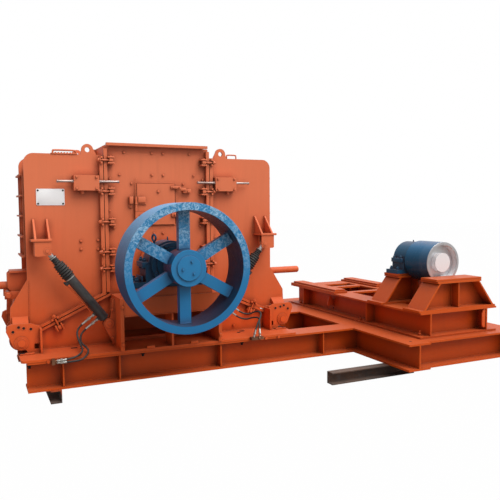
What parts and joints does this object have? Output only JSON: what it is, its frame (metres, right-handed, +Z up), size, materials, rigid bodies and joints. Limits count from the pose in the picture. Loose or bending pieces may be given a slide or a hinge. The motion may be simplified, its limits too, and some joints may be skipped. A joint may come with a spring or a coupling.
{
  "type": "reversible hammer mill on its base frame with an empty motor frame",
  "caption": "Steel hammer mill with side cases opened by hydraulic cylinders, spoked belt pulley, feed inlet and a girder base carrying a motor frame and jackshaft.",
  "frame": {"origin": "centre of the footprint, on the underside of the sleepers", "axes": "+X runs from the mill to the motor frame, +Z is up, the rotor axis is parallel to Y with the belt pulley towards -Y"},
  "size_m": [5.044, 3.116, 2.191],
  "materials": {
    "orange_paint": "satin, slightly faded",
    "blue_paint": "satin, scuffed",
    "dark_paint": "satin",
    "bright_steel": "machined",
    "cast_steel": "rough cast",
    "rusty_steel": "rusty",
    "black_rubber": "matt",
    "plate_aluminium": "satin"
  },
  "bodies": {
    "root": {"base_girder_front": "orange_paint", "base_girder_rear": "orange_paint", "base_plates": "orange_paint", "lower_side_front": "orange_paint", "lower_side_rear": "orange_paint", "lower_end_plates": "orange_paint", "hinge_brackets": "orange_paint", "pedestal_front": "orange_paint", "pedestal_rear": "orange_paint", "bearing_front": "blue_paint", "bearing_rear": "blue_paint", "centre_panel_front": "orange_paint", "centre_panel_rear": "orange_paint", "inlet_frame": "orange_paint", "cross_girder_left": "orange_paint", "cross_girder_right": "orange_paint", "front_beam": "orange_paint", "inner_beams": "orange_paint", "motor_beam_left": "orange_paint", "motor_beam_right": "orange_paint", "motor_crossbeams": "orange_paint", "motor_pads": "orange_paint", "saddle_front": "orange_paint", "saddle_rear": "orange_paint", "jackshaft_bearing": "blue_paint", "cross_sleepers": "rusty_steel", "sleeper_left": "rusty_steel", "sleeper_right": "rusty_steel", "hose_fittings": "bright_steel", "left_upper_hose_front": "black_rubber", "left_upper_hose_rear": "black_rubber", "left_lower_hose_front": "black_rubber", "left_lower_hose_rear": "black_rubber", "right_upper_hose_front": "black_rubber", "right_upper_hose_rear": "black_rubber", "right_lower_hose_front": "black_rubber", "right_lower_hose_rear": "black_rubber"},
    "rotor": {"rotor_core": "bright_steel", "hammers": "cast_steel", "mill_pulley": "blue_paint"},
    "jackshaft": {"jackshaft": "bright_steel", "jackshaft_pulley": "blue_paint"},
    "inspection_door": {"inspection_door": "orange_paint"},
    "right_case": {"right_case_side_front": "orange_paint", "right_case_side_rear": "orange_paint", "right_case_wrap": "orange_paint", "right_breaker_plate": "cast_steel"},
    "right_barrels": {"right_cylinder_barrels": "dark_paint", "right_bellows": "black_rubber"},
    "right_rods": {"right_cylinder_rods": "bright_steel"},
    "left_case": {"left_case_side_front": "orange_paint", "left_case_side_rear": "orange_paint", "left_case_wrap": "orange_paint", "left_breaker_plate": "cast_steel", "nameplate": "plate_aluminium"},
    "left_barrels": {"left_cylinder_barrels": "dark_paint", "left_bellows": "black_rubber"},
    "left_rods": {"left_cylinder_rods": "bright_steel"}
  },
  "joints": [
    {"name": "rotor_spin", "type": "hinge", "parent": "root", "child": "rotor", "pos_m": [-0.855, -0.3, 1.112], "axis": [0, 1, 0], "continuous": true},
    {"name": "jackshaft_spin", "type": "hinge", "parent": "root", "child": "jackshaft", "pos_m": [1.8, -0.3, 1.042], "axis": [0, 1, 0], "continuous": true},
    {"name": "door_swing", "type": "hinge", "parent": "root", "child": "inspection_door", "pos_m": [-1.069, -0.326, 1.642], "axis": [0, 0, -1], "range_deg": [0, 100]},
    {"name": "right_case_swing", "type": "hinge", "parent": "root", "child": "right_case", "pos_m": [0.388, -0.3, 0.475], "axis": [0, 1, 0], "range_deg": [0, 40]},
    {"name": "right_barrel_tilt", "type": "hinge", "parent": "root", "child": "right_barrels", "pos_m": [-0.339, -0.3, 0.59], "axis": [0, 1, 0], "range_deg": [0, 22.17], "deforming": ["right_upper_hose_front", "right_upper_hose_rear", "right_lower_hose_front", "right_lower_hose_rear"]},
    {"name": "right_rod_stroke", "type": "slide", "parent": "right_barrels", "child": "right_rods", "axis": [0.6075, 0, 0.7943], "range_m": [0, 0.3946]},
    {"name": "left_case_swing", "type": "hinge", "parent": "root", "child": "left_case", "pos_m": [-2.098, -0.3, 0.475], "axis": [0, -1, 0], "range_deg": [0, 40]},
    {"name": "left_barrel_tilt", "type": "hinge", "parent": "root", "child": "left_barrels", "pos_m": [-1.371, -0.3, 0.59], "axis": [0, -1, 0], "range_deg": [0, 22.17], "deforming": ["left_upper_hose_front", "left_upper_hose_rear", "left_lower_hose_front", "left_lower_hose_rear"]},
    {"name": "left_rod_stroke", "type": "slide", "parent": "left_barrels", "child": "left_rods", "axis": [-0.6075, 0, 0.7943], "range_m": [0, 0.3946]}
  ],
  "couplings": [
    {"joint": "right_barrel_tilt", "follows": "right_case_swing", "ratio": 0.55169},
    {"joint": "right_rod_stroke", "follows": "right_case_swing", "m_per_rad": 0.56374},
    {"joint": "left_barrel_tilt", "follows": "left_case_swing", "ratio": 0.55169},
    {"joint": "left_rod_stroke", "follows": "left_case_swing", "m_per_rad": 0.56374}
  ]
}
